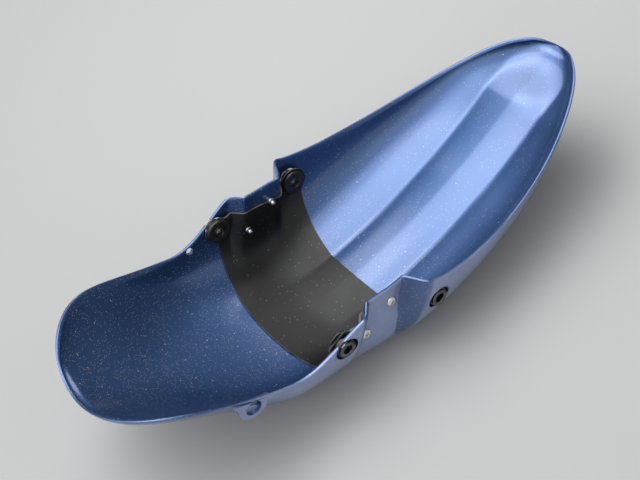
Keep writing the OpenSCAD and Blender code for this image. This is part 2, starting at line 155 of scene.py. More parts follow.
# The photograph's camera, about the axle
CAMERA_AT = (-256.7, -420.5, 187.6)
CAMERA_RIGHT = (0.7935, -0.6045, -0.0705)
CAMERA_DOWN = (-0.4476, -0.5012, -0.7406)
CAMERA_AHEAD = (0.4124, 0.6193, -0.6682)
FOCAL_PIXELS, FRAME_WIDTH, SENSOR_WIDTH = 993.6, 640, 36

BLACK, WHITE = (0, 0, 0), (1, 1, 1)

# A speck of dust is solid out to this share of its radius; specks thin out between these places
SPECK_CORE = 0.6
DUST_FROM, DUST_UNTIL = -0.06, 0.08

# Soft patches of light in the room: azimuth, elevation, spread in degrees, strength
ROOM_GLOWS = ((0, 90, 115, 0.25), (100, 75, 32, 2.6), (150, 46, 36, 2.2), (-160, 50, 50, 1.1),
              (-95, 20, 65, 0.6))


def turned_with_part(v):
    """A direction about the axle, in the row frame."""
    c, s = math.cos(REST_TURN), math.sin(REST_TURN)
    return Vector((v[0] * c + v[2] * s, v[1], v[2] * c - v[0] * s))


def lying(p):
    """A point about the axle in millimetres, in the row frame in metres."""
    return (turned_with_part(p) + LOW) * MM


def clip01(x):
    """A number kept between 0 and 1."""
    return max(0.0, min(1.0, x))


def ease(x):
    """A soft step from 0 to 1."""
    x = clip01(x)
    return x * x * (3 - 2 * x)


def soft_ramp(x, blur):
    """A straight ramp from 0 to 1 whose two corners are rounded over the given width."""
    def area(v):
        return 0.0 if v < 0 else v * v / 2 if v < 1 else v - 0.5
    return (area(x + blur) - area(x - blur)) / (2 * blur)


def full_half(t):
    """Half of the skin's inner width at an angle, without the fork recess."""
    if t > RAMP_FRONT_END:
        share = clip01((t - RAMP_FRONT_END) / (TIP_ANGLE - RAMP_FRONT_END))
        return FRONT_HALF_WIDTH * (1 - share ** NOSE_POWER) ** (1 / NOSE_ROOT)
    if t < 0:
        share = clip01(-t / TAIL_ANGLE)
        return (REAR_HALF_WIDTH + REAR_TAPER * t) * (1 - share ** TAIL_POWER) ** (1 / TAIL_ROOT)
    return REAR_HALF_WIDTH + (FRONT_HALF_WIDTH - REAR_HALF_WIDTH) * t / RAMP_FRONT_END


def recess_share(t):
    """How much of the fork recess there is at an angle: a soft step behind, a ramp ahead."""
    ahead = ease((t - RAMP_FRONT_START) / (RAMP_FRONT_END - RAMP_FRONT_START))
    behind = STEP_REAR_END - STEP_REAR_START
    return (1 - ahead) * soft_ramp((t - STEP_REAR_START) / behind, RECESS_SOFTNESS / behind)


def recess_dip(t):
    """The narrow facet of the recess that dips inward just before the front ramp."""
    return RECESS_DIP * clip01((t - DIP_START) / (DIP_END - DIP_START))


def rim_depth(t):
    """How far the rim lies from the crown, towards the axle."""
    if t > RAMP_FRONT_END:
        share = clip01((t - RAMP_FRONT_END) / (TIP_ANGLE - RAMP_FRONT_END))
        return SIDE_DEPTH * (1 - share ** DROP_POWER) ** DROP_ROOT
    if t < STEP_REAR_END:
        share = clip01(-t / TAIL_ANGLE)
        depth = REAR_DEPTH + (SIDE_DEPTH - REAR_DEPTH) * ease(1 + (t - STEP_REAR_END) / DEEPEN)
        return depth * (1 - share ** TAIL_POWER) ** (2 / TAIL_ROOT)
    return SIDE_DEPTH


def ridge_share(t):
    """How much of the two ridges and of the panel between them there is at an angle."""
    return ease((t - RIDGE_FROM) / RIDGE_RISE) * (1 - ease((t - RIDGE_UNTIL) / RIDGE_FALL))


def crown_sink(t):
    """How far the crown lies inside its circle."""
    nose = ease((t - SINK_FROM) / SINK_RISE) * (1 - ease((t - SINK_UNTIL) / SINK_FALL))
    return NOSE_SINK * nose + PANEL_SINK * ridge_share(t)


def squareness(t):
    """The power of the section's curve: 2 is round, more is squarer."""
    return (SQUARE_REAR + (SQUARE_FORK - SQUARE_REAR) * ease((t - FORK_FROM) / FORK_OVER)
            + (SQUARE_FRONT - SQUARE_FORK) * ease((t - FRONT_FROM) / FRONT_OVER)
            + (SQUARE_TIP - SQUARE_FRONT) * ease((t - TIP_FROM) / TIP_OVER))


def inside(t, s):
    """A point on the inside of the skin: t is the angle along it, s runs from rim to rim."""
    n = squareness(t)
    k = ARCH_REAR + (ARCH_FRONT - ARCH_REAR) * ease((t - FORK_FROM) / ARCH_OVER)
    c_rim = (1 - k ** n) ** (1 / n)
    a = abs(s) * math.atan2(k, c_rim)
    rho = (math.sin(a) ** n + math.cos(a) ** n) ** (-1 / n)
    q = rho * math.sin(a) / k
    g = (1 - rho * math.cos(a)) / (1 - c_rim)
    half = full_half(t)
    recessed = half - RECESS_HALF + recess_dip(t) * ease(g)
    y = q * (half - recessed * recess_share(t) * ease(g / RECESS_FADE))
    sink = crown_sink(t)
    off_crest = math.sqrt((y - RIDGE_OFFSET) ** 2 + RIDGE_CREST ** 2) - RIDGE_CREST
    ridge = RIDGE_HEIGHT * ridge_share(t) * math.exp(-off_crest / RIDGE_SPREAD) * (1 - q ** 4)
    r = CROWN_RADIUS - sink - (rim_depth(t) - sink) * g + ridge
    lean_share = ease((t - LEAN_FROM) / LEAN_OVER) * (1 - ease((t - LEAN_UNTIL) / LEAN_FALL))
    lean = RECESS_LEAN * lean_share
    th = math.radians(t - lean * (1 - g))
    return Vector((r * math.sin(th), math.copysign(y, s), -r * math.cos(th)))


def outward(t, s, dt=0.12, ds=0.006):
    """The direction out of the skin at a point of its inside."""
    most = 1 - SLOPE_SHORT
    t0, t1 = max(t - dt, -TAIL_ANGLE * most), min(t + dt, TIP_ANGLE * most)
    s0, s1 = max(s - ds, -1), min(s + ds, 1)
    along = inside(t1, s) - inside(t0, s)
    across = inside(t, s1) - inside(t, s0)
    return across.cross(along).normalized()


def activate(obj):
    """Selects one object only, and makes it the active one."""
    bpy.ops.object.select_all(action="DESELECT")
    obj.select_set(True)
    bpy.context.view_layer.objects.active = obj


def apply_modifier(obj, kind, **settings):
    """Adds a modifier with these settings and applies it."""
    activate(obj)
    mod = obj.modifiers.new(kind.title(), kind)
    for key, value in settings.items():
        setattr(mod, key, value)
    bpy.ops.object.modifier_apply(modifier=mod.name)


def settle(obj):
    """Applies an object's place, so that it sits at the origin, unturned and unscaled."""
    activate(obj)
    bpy.ops.object.transform_apply(location=True, rotation=True, scale=True)


def finish_piece(obj, name, material, node):
    """Names a piece, gives it its finish and lets it stand for its solid."""
    obj.name = name
    obj.data.name = name
    if not obj.data.materials:
        obj.data.materials.append(material)
    else:
        obj.data.materials[0] = material
    activate(obj)
    bpy.ops.object.shade_smooth_by_angle(angle=SMOOTH_BELOW)
    apply_modifier(obj, "WEIGHTED_NORMAL", keep_sharp=True)
    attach(obj, "root")
    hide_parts(node)


def grey(level):
    """A grey of a level from 0 to 1."""
    return (level, level, level)


def new_material(name, **sockets):
    """A material with its shader's own sockets set."""
    mat = bpy.data.materials.new(name)
    mat.use_nodes = True
    shader = mat.node_tree.nodes["Principled BSDF"]
    for key, value in sockets.items():
        shader.inputs[key.replace("_", " ")].default_value = value
    return mat, mat.node_tree.nodes, mat.node_tree.links, shader


def pattern_at(nodes, links, kind, scale, **settings):
    """A texture node that reads the piece's own Object coordinates."""
    place = nodes.new("ShaderNodeTexCoord")
    tex = nodes.new(kind)
    tex.inputs["Scale"].default_value = scale
    for key, value in settings.items():
        if key in tex.inputs:
            tex.inputs[key].default_value = value
        else:
            setattr(tex, key, value)
    links.new(place.outputs["Object"], tex.inputs["Vector"])
    return tex


def ramp(nodes, links, source, stops):
    """A colour ramp after a value output, from (position, colour) stops."""
    node = nodes.new("ShaderNodeValToRGB")
    while len(node.color_ramp.elements) < len(stops):
        node.color_ramp.elements.new(0.5)
    for element, (position, colour) in zip(node.color_ramp.elements, stops):
        element.position = position
        element.color = (*colour, 1)
    links.new(source, node.inputs["Fac"])
    return node


def dust(nodes, links, per_metre, radius, share, thin, thick):
    """Specks of dust: a share of a fine pattern's cells hold one, more of them towards the tail."""
    cells = pattern_at(nodes, links, "ShaderNodeTexVoronoi", per_metre, Randomness=1)
    speck = ramp(nodes, links, cells.outputs["Distance"],
                 [(radius * SPECK_CORE, WHITE), (radius, BLACK)])
    place = nodes.new("ShaderNodeTexCoord")
    split = nodes.new("ShaderNodeSeparateXYZ")
    links.new(place.outputs["Object"], split.inputs[0])
    along = nodes.new("ShaderNodeMapRange")
    along.interpolation_type = "SMOOTHSTEP"
    for key, value in {"From Min": DUST_FROM, "From Max": DUST_UNTIL,
                       "To Min": thick, "To Max": thin}.items():
        along.inputs[key].default_value = value
    links.new(split.outputs["X"], along.inputs["Value"])
    cloud = pattern_at(nodes, links, "ShaderNodeTexNoise", 34, Detail=3)
    here = nodes.new("ShaderNodeMath")
    here.operation = "MULTIPLY"
    links.new(along.outputs["Result"], here.inputs[0])
    links.new(cloud.outputs["Fac"], here.inputs[1])
    pick = nodes.new("ShaderNodeSeparateColor")
    links.new(cells.outputs["Color"], pick.inputs[0])
    held = nodes.new("ShaderNodeMath")
    held.operation = "LESS_THAN"
    links.new(pick.outputs["Red"], held.inputs[0])
    links.new(here.outputs[0], held.inputs[1])
    both = nodes.new("ShaderNodeMath")
    both.operation = "MULTIPLY"
    links.new(speck.outputs["Color"], both.inputs[0])
    links.new(held.outputs[0], both.inputs[1])
    faint = nodes.new("ShaderNodeMath")
    faint.operation = "MULTIPLY"
    faint.inputs[1].default_value = share
    links.new(both.outputs[0], faint.inputs[0])
    return faint.outputs[0]


def laid_over(nodes, links, colour, amount, top_colour):
    """A colour laid over another by an amount."""
    mix = nodes.new("ShaderNodeMix")
    mix.data_type = "RGBA"
    mix.inputs["B"].default_value = (*top_colour, 1)
    links.new(amount, mix.inputs["Factor"])
    links.new(colour, mix.inputs["A"])
    return mix.outputs["Result"]


def blue_paint():
    """Dark blue metallic paint under a clear coat, with fine dust inside and, outside, a pale film
    that is partly dust and partly painted light from the floor.
    """
    mat, nodes, links, shader = new_material(
        "blue_paint", Roughness=0.4, Coat_Weight=1.0, Coat_Roughness=0.16)
    cloud = pattern_at(nodes, links, "ShaderNodeTexNoise", 14, Detail=4)
    tint = ramp(nodes, links, cloud.outputs["Fac"],
                [(0.3, (0.022, 0.066, 0.190)), (0.7, (0.030, 0.082, 0.225))])
    fine = dust(nodes, links, per_metre=800, radius=0.26, share=0.6, thin=0.35, thick=1.15)
    coarse = dust(nodes, links, per_metre=230, radius=0.11, share=0.8, thin=0.08, thick=0.6)
    colour = laid_over(nodes, links, tint.outputs["Color"], fine, (0.42, 0.40, 0.36))
    colour = laid_over(nodes, links, colour, coarse, (0.55, 0.52, 0.45))
    # The pale film outside is partly dust and partly painted light, standing in for the floor's
    # light on the side walls
    side = nodes.new("ShaderNodeAttribute")
    side.attribute_name = "outer_dust_and_sheen"
    film = pattern_at(nodes, links, "ShaderNodeTexNoise", 40, Detail=5)
    dust_and_sheen_share = ramp(nodes, links, film.outputs["Fac"], [(0.3, grey(0.42)), (0.7, grey(0.56))])
    outside = nodes.new("ShaderNodeMath")
    outside.operation = "MULTIPLY"
    links.new(side.outputs["Fac"], outside.inputs[0])
    links.new(dust_and_sheen_share.outputs["Color"], outside.inputs[1])
    colour = laid_over(nodes, links, colour, outside.outputs[0], (0.36, 0.42, 0.66))
    links.new(colour, shader.inputs["Base Color"])
    cover = outside.outputs[0]
    for more in (fine, coarse):
        most = nodes.new("ShaderNodeMath")
        most.operation = "MAXIMUM"
        links.new(cover, most.inputs[0])
        links.new(more, most.inputs[1])
        cover = most.outputs[0]
    metal_share = ramp(nodes, links, cover, [(0, grey(0.75)), (0.5, grey(0.15))])
    links.new(metal_share.outputs["Color"], shader.inputs["Metallic"])
    return mat


def black_paint():
    """Semi-gloss black paint with a film of dust."""
    mat, nodes, links, shader = new_material("black_paint", Specular_IOR_Level=0.35)
    film = pattern_at(nodes, links, "ShaderNodeTexNoise", 38, Detail=5)
    tint = ramp(nodes, links, film.outputs["Fac"],
                [(0.35, (0.006, 0.006, 0.006)), (0.75, (0.015, 0.014, 0.013))])
    rough = ramp(nodes, links, film.outputs["Fac"], [(0.3, grey(0.34)), (0.75, grey(0.5))])
    specks = dust(nodes, links, per_metre=360, radius=0.15, share=0.4, thin=0.9, thick=0.9)
    colour = laid_over(nodes, links, tint.outputs["Color"], specks, (0.42, 0.38, 0.32))
    links.new(colour, shader.inputs["Base Color"])
    links.new(rough.outputs["Color"], shader.inputs["Roughness"])
    return mat


def worn_and_highlit_edge():
    """The brace's cut edge: its paint rubbed thin, and painted lighter for the highlight that the
    sheet's edge catches.
    """
    mat, nodes, links, shader = new_material("worn_and_highlit_edge", Roughness=0.42)
    rub_and_glint = pattern_at(nodes, links, "ShaderNodeTexNoise", 90, Detail=4)
    # The lighter brown is partly worn paint and partly a painted highlight along the edge
    tint = ramp(nodes, links, rub_and_glint.outputs["Fac"],
                [(0.35, (0.02, 0.019, 0.018)), (0.65, (0.13, 0.115, 0.1))])
    links.new(tint.outputs["Color"], shader.inputs["Base Color"])
    return mat


def rubber():
    """Black rubber with a faint bloom."""
    mat, nodes, links, shader = new_material("black_rubber", Roughness=0.3)
    bloom = pattern_at(nodes, links, "ShaderNodeTexNoise", 160, Detail=4)
    tint = ramp(nodes, links, bloom.outputs["Fac"],
                [(0.35, (0.010, 0.010, 0.011)), (0.75, (0.028, 0.028, 0.030))])
    links.new(tint.outputs["Color"], shader.inputs["Base Color"])
    return mat


def metal(name, dark, light, roughness):
    """A bare metal whose tone varies a little over its surface."""
    mat, nodes, links, shader = new_material(name, Metallic=1.0, Roughness=roughness)
    grain = pattern_at(nodes, links, "ShaderNodeTexNoise", 300, Detail=5)
    tint = ramp(nodes, links, grain.outputs["Fac"], [(0.35, dark), (0.7, light)])
    links.new(tint.outputs["Color"], shader.inputs["Base Color"])
    return mat


def spread(start, end, count, crowd=0):
    """Angles from start towards end: even, or crowded together at the start or end (-1, 1)."""
    for i in range(count):
        x = i / count
        if crowd > 0:
            x = math.sin(math.pi / 2 * x)
        if crowd < 0:
            x = 1 - math.cos(math.pi / 2 * x)
        yield start + (end - start) * x


def skin_stations():
    """Angles along the skin, close together at both ends and along the fork recess."""
    tail = -TAIL_ANGLE * (1 - TAIL_SHORT)
    tip = TIP_ANGLE * (1 - TIP_SHORT)
    return [*spread(tail, ROWS_FORK_FROM, SKIN_ROWS_REAR, -1),
            *spread(ROWS_FORK_FROM, ROWS_FORK_UNTIL, SKIN_ROWS_FORK),
            *spread(ROWS_FORK_UNTIL, tip, SKIN_ROWS_FRONT, 1), tip]


def curved_grid(rows, columns, point):
    """A grid primitive whose points are moved to point(row value, column value)."""
    bpy.ops.object.select_all(action="DESELECT")
    bpy.ops.mesh.primitive_grid_add(
        x_subdivisions=len(rows) - 1, y_subdivisions=len(columns) - 1, size=2)
    obj = bpy.context.object
    for v in obj.data.vertices:
        i = round((v.co.x + 1) / 2 * (len(rows) - 1))
        j = round((v.co.y + 1) / 2 * (len(columns) - 1))
        v.co = point(rows[i], columns[j])
    return obj


def closed_sheet(inner, outer):
    """Joins two like grids into one sheet and bridges their edges."""
    activate(outer)
    bpy.ops.object.mode_set(mode="EDIT")
    bpy.ops.mesh.select_all(action="SELECT")
    bpy.ops.mesh.flip_normals()
    bpy.ops.object.mode_set(mode="OBJECT")
    inner.select_set(True)
    bpy.context.view_layer.objects.active = inner
    bpy.ops.object.join()
    bpy.ops.object.mode_set(mode="EDIT")
    bpy.ops.mesh.select_all(action="DESELECT")
    bpy.ops.mesh.select_non_manifold()
    bpy.ops.mesh.bridge_edge_loops()
    bpy.ops.object.mode_set(mode="OBJECT")
    return inner


def end_lean(t):
    """The direction that the skin's two ends lean out in."""
    a = math.radians(t)
    sign = 1 if t > 0 else -1
    ahead = math.sin(a) + sign * math.cos(a)
    up = -math.cos(a) + sign * math.sin(a)
    return Vector((ahead, 0, up)).normalized()


def cutter(centre, direction, diameter, length):
    """A round bar that cuts a hole, centred on a point about the axle."""
    bpy.ops.object.select_all(action="DESELECT")
    bpy.ops.mesh.primitive_cylinder_add(vertices=64, radius=diameter / 2, depth=length)
    bar = bpy.context.object
    turn = Vector(direction).to_track_quat("Z", "Y").to_matrix().to_4x4()
    bar.matrix_world = Matrix.Translation(Vector(centre)) @ turn
    settle(bar)
    return bar


def cut_away(obj, bars):
    """Cuts joined bars out of a piece."""
    activate(bars[0])
    for bar in bars:
        bar.select_set(True)
    if len(bars) > 1:
        bpy.ops.object.join()
    apply_modifier(obj, "BOOLEAN", operation="DIFFERENCE", object=bars[0], solver="EXACT")
    bpy.data.objects.remove(bars[0])


def to_row_frame(obj):
    """Moves a piece made about the axle in millimetres to its place in the row frame."""
    for v in obj.data.vertices:
        v.co = lying(v.co)


def rivet_places():
    """(name, side, angle, share) of each rivet."""
    for end, (angle, share) in RIVETS.items():
        for side, sign in (("left", 1), ("right", -1)):
            yield f"{end}_{side}", sign, angle, sign * share


def mounts():
    """(name, sign, (x, z), pad) of each mount."""
    for end, place, pad in (("front", MOUNT_FRONT, PAD_FRONT_Y), ("rear", MOUNT_REAR, PAD_REAR_Y)):
        for side, sign in (("left", 1), ("right", -1)):
            yield f"{end}_{side}", sign, place, pad


def rivet_cutters():
    """The four bars that cut the rivets' holes."""
    return [cutter(inside(t, s), outward(t, s), RIVET_SHANK + 2 * FIT_GAP, RIVET_CUT)
            for _, _, t, s in rivet_places()]


def arc(centre, radius, start, end, count=24):
    """Points of a circle's arc, from one angle in degrees to another."""
    return [(centre[0] + radius * math.cos(math.radians(start + (end - start) * i / count)),
             centre[1] + radius * math.sin(math.radians(start + (end - start) * i / count)))
            for i in range(count + 1)]


def eased_line(a, b, count):
    """Points from a to b that leave and arrive level."""
    return [(a[0] + (b[0] - a[0]) * i / count, a[1] + (b[1] - a[1]) * ease(i / count))
            for i in range(1, count)]


def across(name, outline):
    """A closed outline in side view, stretched right across the part."""
    mesh = bpy.data.meshes.new(name)
    start = -RIGHT_ACROSS / 2
    mesh.from_pydata([(x, start, z) for x, z in outline], [], [list(range(len(outline)))])
    block = bpy.data.objects.new(name, mesh)
    bpy.context.collection.objects.link(block)
    activate(block)
    bpy.ops.object.mode_set(mode="EDIT")
    bpy.ops.mesh.select_all(action="SELECT")
    bpy.ops.mesh.extrude_region_move(TRANSFORM_OT_translate={"value": (0, RIGHT_ACROSS, 0)})
    bpy.ops.mesh.select_all(action="SELECT")
    bpy.ops.mesh.normals_make_consistent(inside=False)
    bpy.ops.object.mode_set(mode="OBJECT")
    return block


def ear_frame():
    """The ear's outer face, the height of its hole and the rear rim's radius."""
    radius = CROWN_RADIUS - REAR_DEPTH
    rim = inside(-math.degrees(math.asin(EAR_X / radius)), -1)
    return rim.y - SKIN_WALL - EAR_STAND, rim.z, radius


def ear_bore(reach):
    """The bar that cuts the ear's hole, from outside the ear inward."""
    face, rim_z, _ = ear_frame()
    length = SKIN_WALL + reach
    centre = (-EAR_X, face - SKIN_WALL + length / 2, rim_z - EAR_DROP)
    return cutter(centre, (0, 1, 0), EAR_HOLE, length)


def ear():
    """The ear that hangs from the right rim, with its hole."""
    face, rim_z, radius = ear_frame()
    middle = (-EAR_X, rim_z - EAR_DEPTH + EAR_RADIUS)

    def below_rim(x, drop):
        return (x, -drop - math.sqrt(radius * radius - x * x))
    left, right = -EAR_X - EAR_ROOT / 2, -EAR_X + EAR_ROOT / 2
    outline = [below_rim(left, EAR_TOP), below_rim(left, EAR_FOOT),
               below_rim(left + EAR_FILLET, EAR_FOOT + 1)]
    outline += arc(middle, EAR_RADIUS, 188, 352)
    outline += [below_rim(right - EAR_FILLET, EAR_FOOT + 1), below_rim(right, EAR_FOOT),
                below_rim(right, EAR_TOP)]
    outline += [below_rim(-EAR_X + x, EAR_TOP) for x in (EAR_TOP_STEP, 0, -EAR_TOP_STEP)]
    plate = across("ear", outline)
    for v in plate.data.vertices:
        v.co.y = face if v.co.y < 0 else face + EAR_WALL + EAR_POCKET + EAR_WEB
    cut_away(plate, [ear_bore(EAR_WALL + EAR_POCKET)])
    apply_modifier(plate, "BEVEL", width=EAR_EDGE, segments=3, limit_method="ANGLE",
                   angle_limit=math.radians(50))
    return plate


def end_share(t):
    """0 at the fork, 1 at the tip or the tail."""
    return t / TIP_ANGLE if t > 0 else -t / TAIL_ANGLE


def through_wall(t, s):
    """The direction across the wall: out of the skin, leaning forward or back at its two ends."""
    share = end_share(t)
    lean = ease((share - END_LEAN_FROM) / (1 - END_LEAN_FROM))
    return (outward(t, s) * (1 - lean) + end_lean(t) * lean).normalized()


def skin_inner(t, s):
    """The inside of the shell, which thins towards the rim ahead of the fork and behind it."""
    at_side = ease((abs(s) - THIN_SIDE) / (1 - THIN_SIDE))
    at_end = ease((end_share(t) - THIN_END) / (1 - THIN_END))
    near_rim = max(at_side, at_end)
    away = (ease((t - THIN_FRONT_FROM) / THIN_FRONT_OVER)
            + ease((-t - THIN_REAR_FROM) / THIN_REAR_OVER))
    return inside(t, s) + RIM_THINNING * near_rim * away * through_wall(t, s)


def skin_outer(t, s):
    """The outside of the shell."""
    return inside(t, s) + SKIN_WALL * through_wall(t, s)


def mark_dust_and_sheen(obj, outside):
    """Notes how much pale film each point carries, partly dust and partly painted light: none
    inside, and less where it faces an end.
    """
    obj.data.update()
    note = obj.data.attributes.new("outer_dust_and_sheen", "FLOAT", "POINT")
    film = [outside * (1 - SHEEN_FILM_LOSS * ease((abs(v.normal.x) - SHEEN_FILM_FACING) / SHEEN_FILM_OVER))
            for v in obj.data.vertices]
    note.data.foreach_set("value", film)


def skin(material):
    """The one-piece moulding, its holes and its ear."""
    rows = skin_stations()
    half = SKIN_HALF_COLUMNS
    columns = [j / half for j in range(-half, half + 1)]
    inner, outer = curved_grid(rows, columns, skin_inner), curved_grid(rows, columns, skin_outer)
    mark_dust_and_sheen(inner, 0)
    mark_dust_and_sheen(outer, 1)
    shell = closed_sheet(inner, outer)
    apply_modifier(shell, "SUBSURF", levels=1, render_levels=1)
    bars = rivet_cutters()
    for _, sign, (x, z), _ in mounts():
        bars.append(cutter((x, sign * MOUNT_CUT_Y, z), (0, 1, 0), SKIN_HOLE, SKIN_CUT))
    bars.append(cutter((-SMALL_HOLE_X, SMALL_CUT_Y, SMALL_HOLE_Z), (0, 1, 0), SMALL_HOLE, SKIN_CUT))
    bars.append(ear_bore(EAR_WALL + EAR_POCKET - 0.1))
    cut_away(shell, bars)
    plate = ear()
    mark_dust_and_sheen(plate, 1)
    activate(shell)
    plate.select_set(True)
    bpy.ops.object.join()
    to_row_frame(shell)
    finish_piece(shell, "blue_skin", material, "mudguard_skin")


def pad_share(p, place):
    """1 on the flat pad round a mount, 0 away from it."""
    return 1 - ease((math.hypot(p.x - place[0], p.z - place[1]) - PAD_FLAT) / PAD_BLEND)


def on_pads(p):
    """Pulls a point of the brace in to the flat pad beside each mount."""
    y = abs(p.y)
    for place, pad in ((MOUNT_FRONT, PAD_FRONT_Y), (MOUNT_REAR, PAD_REAR_Y)):
        share = pad_share(p, place)
        y = min(y, y * (1 - share) + pad * share)
    return Vector((p.x, math.copysign(y, p.y), p.z))


def brace_outer(t, s):
    """The brace's face towards the skin."""
    return on_pads(inside(t, s) - BRACE_GAP * outward(t, s))


def upright_bar(x, radius):
    """A tall round bar, used for the brace's swept edges in plan."""
    bpy.ops.object.select_all(action="DESELECT")
    bpy.ops.mesh.primitive_cylinder_add(
        vertices=512, radius=radius, depth=2 * CROWN_RADIUS, location=(x, 0, 0))
    bar = bpy.context.object
    settle(bar)
    return bar


def brace_side_outline():
    """Points (x, z) of the brace in side view: a low top edge, and a lobe at each mount."""
    top = BRACE_TOP - CROWN_RADIUS
    low = -CROWN_RADIUS - SKIN_WALL
    far_end = BRACE_FRONT + 2 * LOBE_FRONT
    points = [(far_end, low), (far_end, MOUNT_FRONT[1])]
    points += arc(MOUNT_FRONT, LOBE_FRONT, 0, 152)
    dip = (TOP_DIP_X, top - TOP_DIP)
    level = (TOP_LEVEL_X, top)
    front_foot = (MOUNT_FRONT[0] + FRONT_FOOT[0], MOUNT_FRONT[1] + FRONT_FOOT[1])
    rear_foot = (MOUNT_REAR[0] + REAR_FOOT[0], MOUNT_REAR[1] + REAR_FOOT[1])
    points += eased_line(front_foot, dip, 8)
    points += eased_line(dip, level, 6)
    points += eased_line(level, rear_foot, 12)
    points += arc(MOUNT_REAR, LOBE_REAR, 50, 235)
    points += [(-BRACE_REAR - TAIL_CORNER, low + TAIL_CORNER), (-BRACE_REAR - TAIL_CORNER, low)]
    return points


def brace_blank():
    """A solid right across the part that holds what is left of the sheet once it is cut out."""
    plan = upright_bar(BRACE_SWEEP - BRACE_REAR, BRACE_SWEEP)
    front = upright_bar(BRACE_SWEEP + BRACE_FRONT, BRACE_SWEEP)
    apply_modifier(plan, "BOOLEAN", operation="DIFFERENCE", object=front, solver="EXACT")
    bpy.data.objects.remove(front)
    for place, radius in ((MOUNT_FRONT, LOBE_FRONT), (MOUNT_REAR, LOBE_REAR)):
        bar = cutter((place[0], 0, place[1]), (0, 1, 0), 2 * (radius + LOBE_SPARE), RIGHT_ACROSS)
        apply_modifier(plan, "BOOLEAN", operation="UNION", object=bar, solver="EXACT")
        bpy.data.objects.remove(bar)
    side = across("brace_side", brace_side_outline())
    apply_modifier(plan, "BOOLEAN", operation="INTERSECT", object=side, solver="EXACT")
    bpy.data.objects.remove(side)
    return plan


def brace(material, edge_material):
    """The pressed sheet across the inside."""
    rows = list(spread(BRACE_FROM, BRACE_UNTIL, BRACE_ROWS))
    half = BRACE_HALF_COLUMNS
    columns = [j / half * BRACE_REACH for j in range(-half, half + 1)]
    sheet = curved_grid(rows, columns, brace_outer)
    apply_modifier(sheet, "SOLIDIFY", thickness=BRACE_SHEET, offset=1, use_even_offset=True,
                   use_rim=True)
    sheet.data.materials.append(material)
    prism = brace_blank()
    prism.data.materials.clear()
    prism.data.materials.append(edge_material)
    apply_modifier(sheet, "BOOLEAN", operation="INTERSECT", object=prism, solver="EXACT",
                   use_self=True, material_mode="TRANSFER")
    bpy.data.objects.remove(prism)
    bars = rivet_cutters()
    for _, sign, (x, z), pad in mounts():
        bars.append(cutter((x, sign * pad, z), (0, 1, 0), GROMMET_HOLE, PAD_CUT))
    cut_away(sheet, bars)
    to_row_frame(sheet)
    finish_piece(sheet, "brace_sheet", material, "fork_brace")


def turned_ring(profile, segments=64):
    """A ring with a bore: the closed profile of (radius, height) points is swept about Z."""
    bpy.ops.object.select_all(action="DESELECT")
    bpy.ops.mesh.primitive_circle_add(
        vertices=segments, radius=profile[0][0], location=(0, 0, profile[0][1]))
    ring = bpy.context.object
    settle(ring)
    bpy.ops.object.mode_set(mode="EDIT")
    bpy.ops.mesh.select_all(action="SELECT")
    loop = list(profile) + [profile[0]]
    for (r0, z0), (r1, z1) in zip(loop, loop[1:]):
        bpy.ops.mesh.extrude_region_move(TRANSFORM_OT_translate={"value": (0, 0, z1 - z0)})
        bpy.ops.transform.resize(value=(r1 / r0, r1 / r0, 1), center_override=(0, 0, z1))
    bpy.ops.mesh.select_all(action="SELECT")
    bpy.ops.mesh.remove_doubles(threshold=0.001)
    bpy.ops.mesh.normals_make_consistent(inside=False)
    bpy.ops.object.mode_set(mode="OBJECT")
    return ring


def rounded(profile, corners):
    """A profile whose listed corners {index: radius} become arcs."""
    out = []
    for i, point in enumerate(profile):
        radius = corners.get(i, 0)
        if not radius:
            out.append(point)
            continue
        here = Vector(point)
        before = (Vector(profile[i - 1]) - here).normalized()
        after = (Vector(profile[(i + 1) % len(profile)]) - here).normalized()
        for step in range(5):
            w = step / 4
            a, b = here + before * radius, here + after * radius
            curve = a * (1 - w) ** 2 + here * 2 * w * (1 - w) + b * w ** 2
            out.append(tuple(curve))
    return out


def stand_at(obj, origin, direction):
    """Stands a piece made along Z at a point about the axle, and moves it to the row frame."""
    turn = Vector(direction).to_track_quat("Z", "X").to_matrix().to_4x4()
    obj.matrix_world = Matrix.Translation(Vector(origin)) @ turn
    settle(obj)
    to_row_frame(obj)


def collar_top(name):
    """How far out a collar's flange reaches from the middle of the part."""
    return COLLAR_TOP_FRONT if name.startswith("front") else COLLAR_TOP_REAR


def grommet(name, sign, place, pad, material):
    """A rubber grommet: a soft lip inside the brace and a boss that fills the skin's hole."""
    bore = COLLAR_BORE / 2 + COLLAR_WALL + FIT_GAP
    neck = GROMMET_HOLE / 2 - FIT_GAP
    low = -BRACE_SHEET - FIT_GAP
    t = GROMMET_FLANGE_T
    r1, r2 = GROMMET_FLANGE / 2, GROMMET_LIP / 2
    face = collar_top(name) - pad - COLLAR_FLANGE_T - FIT_GAP
    profile = [(bore, low - t), (r1, low - t), (r1, low), (neck, low),
               (neck, FIT_GAP), (r2, FIT_GAP), (r2, face), (bore, face)]
    ring = turned_ring(rounded(profile, {0: 0.3, 1: 1.3, 2: 0.4, 5: 0.4, 6: 1.2, 7: 0.3}))
    stand_at(ring, (place[0], sign * pad, place[1]), (0, sign, 0))
    finish_piece(ring, f"rubber_{name}", material, f"grommet_{name}")


def collar(name, sign, place, pad, material):
    """A flanged steel collar through a grommet."""
    r_in = COLLAR_BORE / 2
    r_out = r_in + COLLAR_WALL
    low = -BRACE_SHEET - GROMMET_FLANGE_T - 2 * FIT_GAP
    top = collar_top(name) - pad - COLLAR_FLANGE_T
    profile = [(r_in, low), (r_out, low), (r_out, top), (r_out + COLLAR_FLANGE, top),
               (r_out + COLLAR_FLANGE, top + COLLAR_FLANGE_T), (r_in, top + COLLAR_FLANGE_T)]
    ring = turned_ring(rounded(profile, {0: 0.25, 1: 0.25, 3: 0.2, 4: 0.35, 5: 0.5}))
    stand_at(ring, (place[0], sign * pad, place[1]), (0, sign, 0))
    finish_piece(ring, f"bush_{name}", material, f"collar_{name}")


